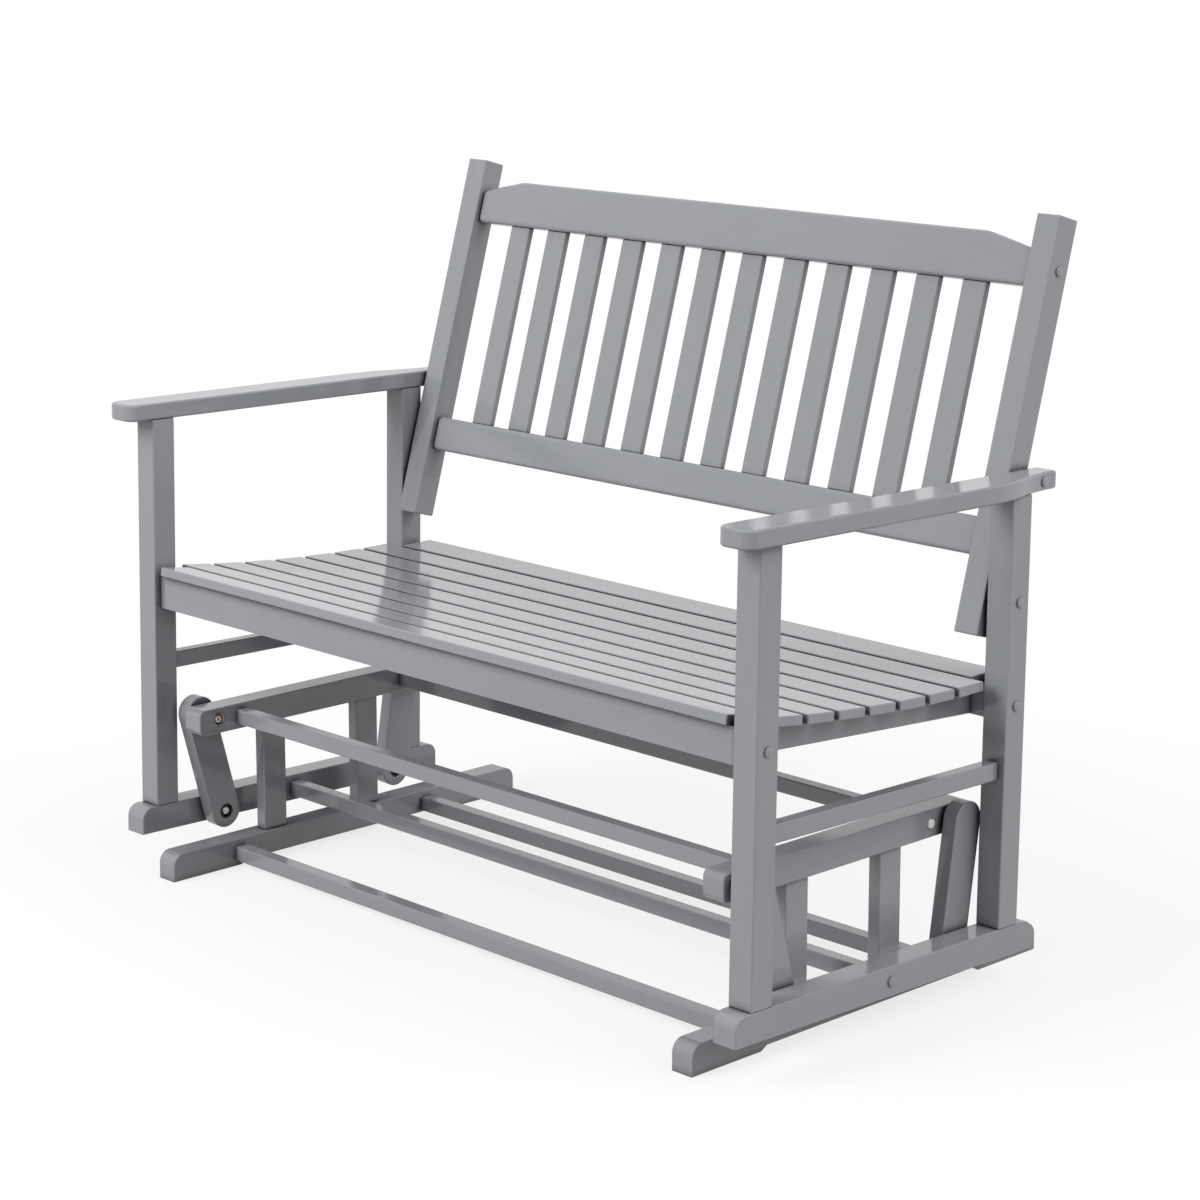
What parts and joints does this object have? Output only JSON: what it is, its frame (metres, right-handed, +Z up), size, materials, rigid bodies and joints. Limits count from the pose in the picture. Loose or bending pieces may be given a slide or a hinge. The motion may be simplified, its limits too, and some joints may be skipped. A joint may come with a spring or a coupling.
{
  "type": "glider bench",
  "caption": "Slatted outdoor glider bench with armrests and a reclined back; the seat frame hangs on swing arms inside a low base and glides back and forth.",
  "frame": {"origin": "on the floor, under the middle of the whole bench at rest", "axes": "+X along the bench to the right as seen by someone who stands in front of it, +Y towards the back, +Z up"},
  "size_m": [1.16, 0.6278, 0.9231],
  "materials": {
    "painted_wood": "semi-gloss paint",
    "bolt_steel": "zinc plated"
  },
  "bodies": {
    "base": {"base_post_front_left": "painted_wood", "base_post_front_right": "painted_wood", "base_post_rear_left": "painted_wood", "base_post_rear_right": "painted_wood", "hanger_rail_left": "painted_wood", "hanger_rail_right": "painted_wood", "lower_stretcher_front": "painted_wood", "lower_stretcher_rear": "painted_wood", "skid_left": "painted_wood", "skid_right": "painted_wood", "upper_pivot_bolts": "bolt_steel", "upper_stretcher_front": "painted_wood", "upper_stretcher_rear": "painted_wood"},
    "front_arms": {"swing_arm_front_left": "painted_wood", "swing_arm_front_right": "painted_wood"},
    "rear_arms": {"swing_arm_rear_left": "painted_wood", "swing_arm_rear_right": "painted_wood", "lower_rear_bolts": "bolt_steel"},
    "seat_frame": {"armrest_left": "painted_wood", "armrest_right": "painted_wood", "back_slat_1": "painted_wood", "back_slat_10": "painted_wood", "back_slat_11": "painted_wood", "back_slat_12": "painted_wood", "back_slat_2": "painted_wood", "back_slat_3": "painted_wood", "back_slat_4": "painted_wood", "back_slat_5": "painted_wood", "back_slat_6": "painted_wood", "back_slat_7": "painted_wood", "back_slat_8": "painted_wood", "back_slat_9": "painted_wood", "crest_rail": "painted_wood", "cross_bar": "painted_wood", "front_apron": "painted_wood", "lower_back_rail": "painted_wood", "lower_front_bolts": "bolt_steel", "post_front_left": "painted_wood", "post_front_right": "painted_wood", "post_rear_left": "painted_wood", "post_rear_right": "painted_wood", "rear_apron": "painted_wood", "runner_left": "painted_wood", "runner_right": "painted_wood", "seat_rail_left": "painted_wood", "seat_rail_middle": "painted_wood", "seat_rail_right": "painted_wood", "seat_slat_1": "painted_wood", "seat_slat_2": "painted_wood", "seat_slat_3": "painted_wood", "seat_slat_4": "painted_wood", "seat_slat_5": "painted_wood", "seat_slat_6": "painted_wood", "seat_slat_7": "painted_wood", "seat_slat_8": "painted_wood", "seat_slat_9": "painted_wood", "side_bar_left": "painted_wood", "side_bar_right": "painted_wood", "stile_left": "painted_wood", "stile_right": "painted_wood"}
  },
  "joints": [
    {"name": "seat_swing", "type": "hinge", "parent": "base", "child": "front_arms", "pos_m": [0, -0.22996, 0.21], "axis": [1, 0, 0], "range_deg": [-18, 18]},
    {"name": "rear_arm_swing", "type": "hinge", "parent": "base", "child": "rear_arms", "pos_m": [0, 0.13444, 0.21], "axis": [1, 0, 0], "range_deg": [-17.5, 17.5]},
    {"name": "seat_tilt", "type": "hinge", "parent": "front_arms", "child": "seat_frame", "pos_m": [0, -0.19126, 0.06611], "axis": [1, 0, 0], "range_deg": [-21.4, 21.4]}
  ],
  "couplings": [
    {"joint": "rear_arm_swing", "follows": "seat_swing", "ratio": 0.9695},
    {"joint": "seat_tilt", "follows": "seat_swing", "ratio": -1.1826}
  ]
}
